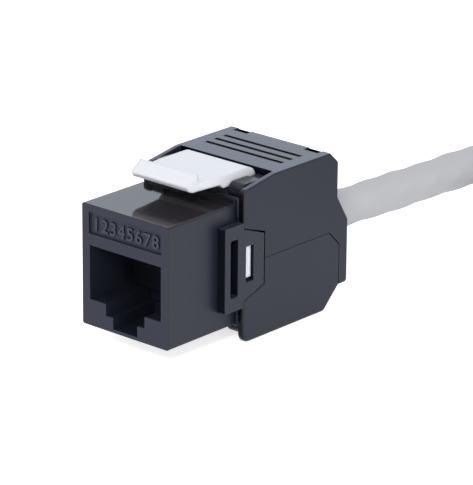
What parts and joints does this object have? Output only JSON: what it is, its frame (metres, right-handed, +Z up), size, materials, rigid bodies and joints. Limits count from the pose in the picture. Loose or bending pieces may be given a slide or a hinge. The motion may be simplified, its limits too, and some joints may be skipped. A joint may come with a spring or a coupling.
{
  "type": "keystone jack",
  "caption": "Snap-in modular socket for a data cable, with a sprung latch on top, side arms and two clamshell doors that press the wires home at the rear.",
  "frame": {"origin": "middle of the jack's footprint, without its cable, on the surface it rests on", "axes": "+X to the right as seen from the front, +Y from the front face towards the cable, +Z up"},
  "size_m": [0.0583, 0.1124, 0.0226],
  "materials": {
    "housing_plastic": "fine satin black",
    "frame_plastic": "fine satin black",
    "door_plastic": "finely textured black",
    "core_plastic": "smooth white",
    "latch_plastic": "smooth white",
    "carrier_plastic": "matte black",
    "board": "green solder mask",
    "contact_gold": "gold plated",
    "blade_metal": "tin plated",
    "cable_jacket": "matte light grey",
    "wire_blue": "smooth",
    "wire_orange": "smooth",
    "wire_green": "smooth",
    "wire_brown": "smooth"
  },
  "bodies": {
    "jack": {"front_housing": "housing_plastic", "rear_frame": "frame_plastic", "wire_core": "core_plastic", "contact_carrier": "carrier_plastic", "circuit_board": "board", "cable_jacket_end": "cable_jacket", "cable_run": "cable_jacket", "cable_coil": "cable_jacket", "contact_spring_1": "contact_gold", "idc_blade_1": "blade_metal", "contact_spring_2": "contact_gold", "idc_blade_2": "blade_metal", "contact_spring_3": "contact_gold", "idc_blade_3": "blade_metal", "contact_spring_4": "contact_gold", "idc_blade_4": "blade_metal", "contact_spring_5": "contact_gold", "idc_blade_5": "blade_metal", "contact_spring_6": "contact_gold", "idc_blade_6": "blade_metal", "contact_spring_7": "contact_gold", "idc_blade_7": "blade_metal", "contact_spring_8": "contact_gold", "idc_blade_8": "blade_metal", "conductor_1": "wire_blue", "conductor_2": "wire_blue", "conductor_3": "wire_orange", "conductor_4": "wire_orange", "conductor_5": "wire_green", "conductor_6": "wire_green", "conductor_7": "wire_brown", "conductor_8": "wire_brown"},
    "latch": {"keystone_latch": "latch_plastic"},
    "upper_cover": {"upper_door": "door_plastic"},
    "lower_cover": {"lower_door": "door_plastic"}
  },
  "joints": [
    {"name": "latch_flex", "type": "hinge", "parent": "jack", "child": "latch", "pos_m": [0, 0.00045, 0.01995], "axis": [1, 0, 0], "range_deg": [0, 9], "stiffness_Nm_per_rad": 0.62},
    {"name": "upper_door_hinge", "type": "hinge", "parent": "jack", "child": "upper_cover", "pos_m": [0, -0.00225, 0.0191], "axis": [1, 0, 0], "range_deg": [0, 95]},
    {"name": "lower_door_hinge", "type": "hinge", "parent": "jack", "child": "lower_cover", "pos_m": [0, -0.00225, 0.0019], "axis": [1, 0, 0], "range_deg": [-95, 0]}
  ],
  "couplings": [
    {"joint": "lower_door_hinge", "follows": "upper_door_hinge", "ratio": -1}
  ]
}
